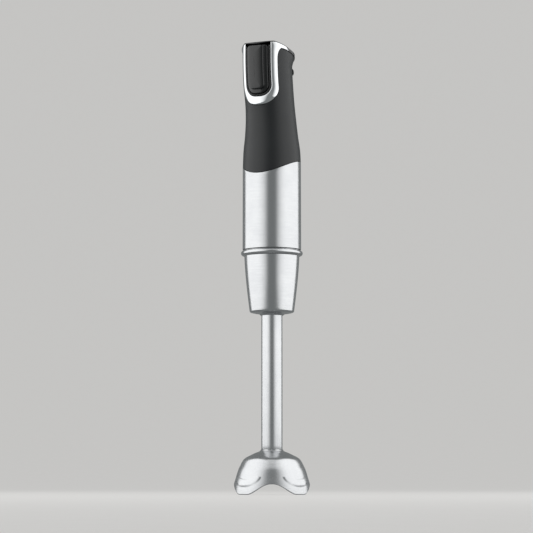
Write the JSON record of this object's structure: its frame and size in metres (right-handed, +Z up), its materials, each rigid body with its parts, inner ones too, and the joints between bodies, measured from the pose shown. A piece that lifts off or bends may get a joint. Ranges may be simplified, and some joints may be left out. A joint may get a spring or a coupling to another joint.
{
  "type": "immersion blender",
  "caption": "Hand-held immersion blender: motor unit with a soft grip and a chrome-framed trigger, and a pull-off steel foot whose bell guard covers a winged blade.",
  "frame": {"origin": "centre of the foot's rim, on the plane it stands on", "axes": "+Z up along the shaft towards the cord inlet, the trigger faces -Y"},
  "size_m": [0.0704, 0.0704, 0.4022],
  "materials": {
    "soft_grip": "soft-touch matt dark grey",
    "black_gloss": "polished black",
    "grey_rubber": "matt dark grey",
    "chrome": "bright mirror plating",
    "satin_steel": "satin stainless steel",
    "black_nylon": "moulded, matt",
    "grey_nylon": "moulded, matt",
    "lamination": "stacked steel sheet",
    "copper": "varnished copper wire and bars",
    "brass": "folded sheet",
    "bronze": "sintered bronze",
    "carbon": "pressed carbon",
    "board": "green lacquered board",
    "aluminium": "die-cast and extruded",
    "capacitor_yellow": "yellow moulded case",
    "bright_steel": "ground and polished"
  },
  "bodies": {
    "motor_unit": {"grip_sleeve": "soft_grip", "top_cap": "black_gloss", "cord_gland": "black_nylon", "trigger_bezel": "chrome", "trigger_gasket": "grey_rubber", "steel_sleeve": "satin_steel", "motor_housing": "grey_nylon", "spigot": "black_nylon", "snap_ring": "bright_steel", "stator_core": "lamination", "field_coil_front": "copper", "field_coil_rear": "copper", "stator_mount": "grey_rubber", "upper_bracket": "aluminium", "handle_frame": "grey_nylon", "trigger_pivot_pin": "bright_steel", "stator_screw_left": "bright_steel", "stator_screw_right": "bright_steel", "frame_screw_front": "bright_steel", "frame_screw_rear": "bright_steel", "brush_holder_front": "brass", "brush_holder_rear": "brass", "carbon_brush_front": "carbon", "carbon_brush_rear": "carbon", "brush_spring_front": "bright_steel", "brush_spring_rear": "bright_steel", "bearing_lower": "bright_steel", "bearing_upper": "bright_steel", "circuit_board": "board", "filter_capacitor": "capacitor_yellow", "triac_heat_sink": "aluminium", "trigger_spring": "bright_steel", "lock_spring": "bright_steel", "trigger_switch": "black_nylon", "lock_switch": "black_nylon"},
    "trigger": {"trigger": "black_gloss"},
    "plunger": {"switch_plunger": "grey_nylon"},
    "lock": {"lock_button": "black_nylon"},
    "rotor": {"armature_shaft": "bright_steel", "armature_core": "lamination", "armature_winding_lower": "copper", "armature_winding_upper": "copper", "commutator": "copper", "fan": "black_nylon", "drive_dog": "black_nylon"},
    "foot": {"foot_collar": "satin_steel", "collar_insert": "black_nylon", "foot_tube": "satin_steel", "bell_guard": "satin_steel", "bell_hub": "black_nylon", "foot_seal": "grey_rubber", "lower_bush": "bronze", "middle_guide": "grey_nylon", "upper_bush": "bronze"},
    "blade_shaft": {"drive_shaft": "bright_steel", "driven_coupling": "black_nylon", "blade": "bright_steel", "blade_nut": "bright_steel"}
  },
  "joints": [
    {"name": "trigger_press", "type": "hinge", "parent": "motor_unit", "child": "trigger", "pos_m": [0, -0.0195, 0.3592], "axis": [-1, 0, 0], "range_deg": [0, 4.5], "stiffness_Nm_per_rad": 0.6, "springref_deg": -2.86, "deforming": ["trigger_spring"]},
    {"name": "plunger_push", "type": "slide", "parent": "motor_unit", "child": "plunger", "axis": [0, 1, 0], "range_m": [0, 0.0012]},
    {"name": "lock_press", "type": "slide", "parent": "motor_unit", "child": "lock", "axis": [0, -1, 0], "range_m": [0, 0.0012], "stiffness_N_per_m": 400, "springref_m": -0.001, "deforming": ["lock_spring"]},
    {"name": "rotor_spin", "type": "hinge", "parent": "motor_unit", "child": "rotor", "pos_m": [0, 0, 0.246], "axis": [0, 0, 1], "continuous": true},
    {"name": "foot_pull_off", "type": "slide", "parent": "motor_unit", "child": "foot", "axis": [0, 0, -1], "range_m": [0, 0.04], "deforming": ["snap_ring"]},
    {"name": "blade_spin", "type": "hinge", "parent": "foot", "child": "blade_shaft", "pos_m": [0, 0, 0.1], "axis": [0, 0, 1], "continuous": true}
  ],
  "couplings": [
    {"joint": "plunger_push", "follows": "trigger_press", "m_per_rad": 0.015},
    {"joint": "blade_spin", "follows": "rotor_spin", "ratio": 1}
  ]
}
